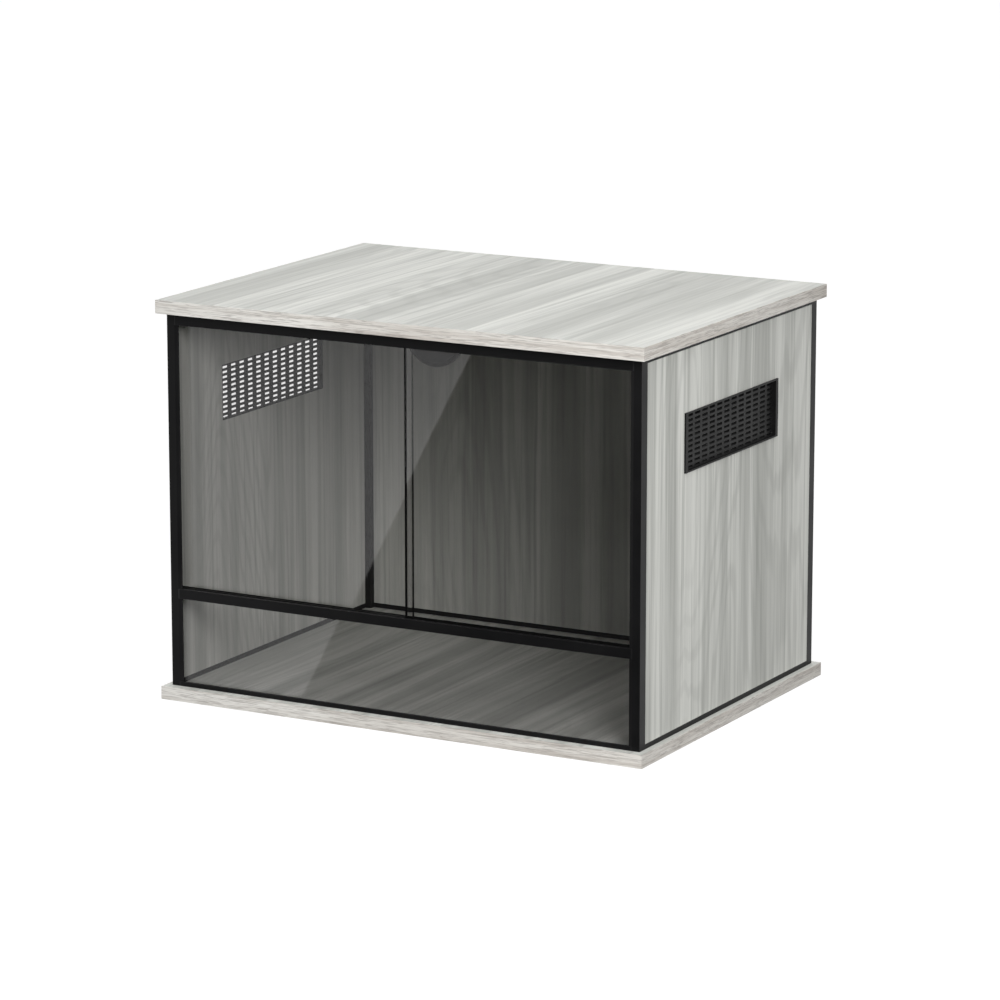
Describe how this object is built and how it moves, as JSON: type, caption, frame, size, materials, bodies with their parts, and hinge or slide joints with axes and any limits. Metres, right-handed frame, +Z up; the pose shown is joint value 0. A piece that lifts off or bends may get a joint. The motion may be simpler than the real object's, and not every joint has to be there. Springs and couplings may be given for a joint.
{
  "type": "terrarium cabinet",
  "caption": "Free-standing terrarium cabinet: wood-look boards and panels, slim black frame, sliding glass doors over a fixed pane, side vents and a capped cable port.",
  "frame": {"origin": "middle of the underside of the base board", "axes": "+X to the right seen from the front, -Y out through the glass doors, +Z up"},
  "size_m": [0.6, 0.45, 0.451],
  "materials": {
    "board_laminate": "light grey oak melamine on board, satin, grain from front to back",
    "edge_band": "light grey oak edge band, satin, fine streaks along the edge",
    "panel_laminate": "light grey oak melamine on thin board, satin, upright grain",
    "frame_black": "extruded aluminium with a satin black coating",
    "track_plastic": "extruded black plastic, fine satin",
    "vent_plastic": "moulded black plastic, fine satin",
    "seal_rubber": "matt black rubber",
    "smoked_glass": "clear polished glass with a grey smoke tint",
    "fastener_steel": "zinc-plated steel"
  },
  "bodies": {
    "cabinet": {"base_board": "board_laminate", "base_edge_bands": "edge_band", "top_board": "board_laminate", "top_edge_bands": "edge_band", "front_left_post": "frame_black", "front_right_post": "frame_black", "rear_left_post": "frame_black", "rear_right_post": "frame_black", "front_bottom_rail": "frame_black", "left_bottom_rail": "frame_black", "right_bottom_rail": "frame_black", "rear_bottom_rail": "frame_black", "front_top_rail": "frame_black", "left_top_rail": "frame_black", "right_top_rail": "frame_black", "rear_top_rail": "frame_black", "mid_rail": "frame_black", "upper_door_track": "track_plastic", "lower_door_track": "track_plastic", "left_panel": "panel_laminate", "right_panel": "panel_laminate", "back_panel": "panel_laminate", "lower_glass": "smoked_glass", "lower_glass_gaskets": "seal_rubber", "left_vent": "vent_plastic", "right_vent": "vent_plastic", "cable_port": "vent_plastic", "cable_port_cap": "vent_plastic", "base_screws": "fastener_steel", "top_pins": "fastener_steel"},
    "left_door": {"left_door_glass": "smoked_glass", "left_door_runner": "seal_rubber"},
    "right_door": {"right_door_glass": "smoked_glass", "right_door_runner": "seal_rubber", "right_door_seal": "seal_rubber"}
  },
  "joints": [
    {"name": "left_door_slide", "type": "slide", "parent": "cabinet", "child": "left_door", "axis": [1, 0, 0], "range_m": [0, 0.275]},
    {"name": "right_door_slide", "type": "slide", "parent": "cabinet", "child": "right_door", "axis": [1, 0, 0], "range_m": [-0.291, 0]}
  ]
}
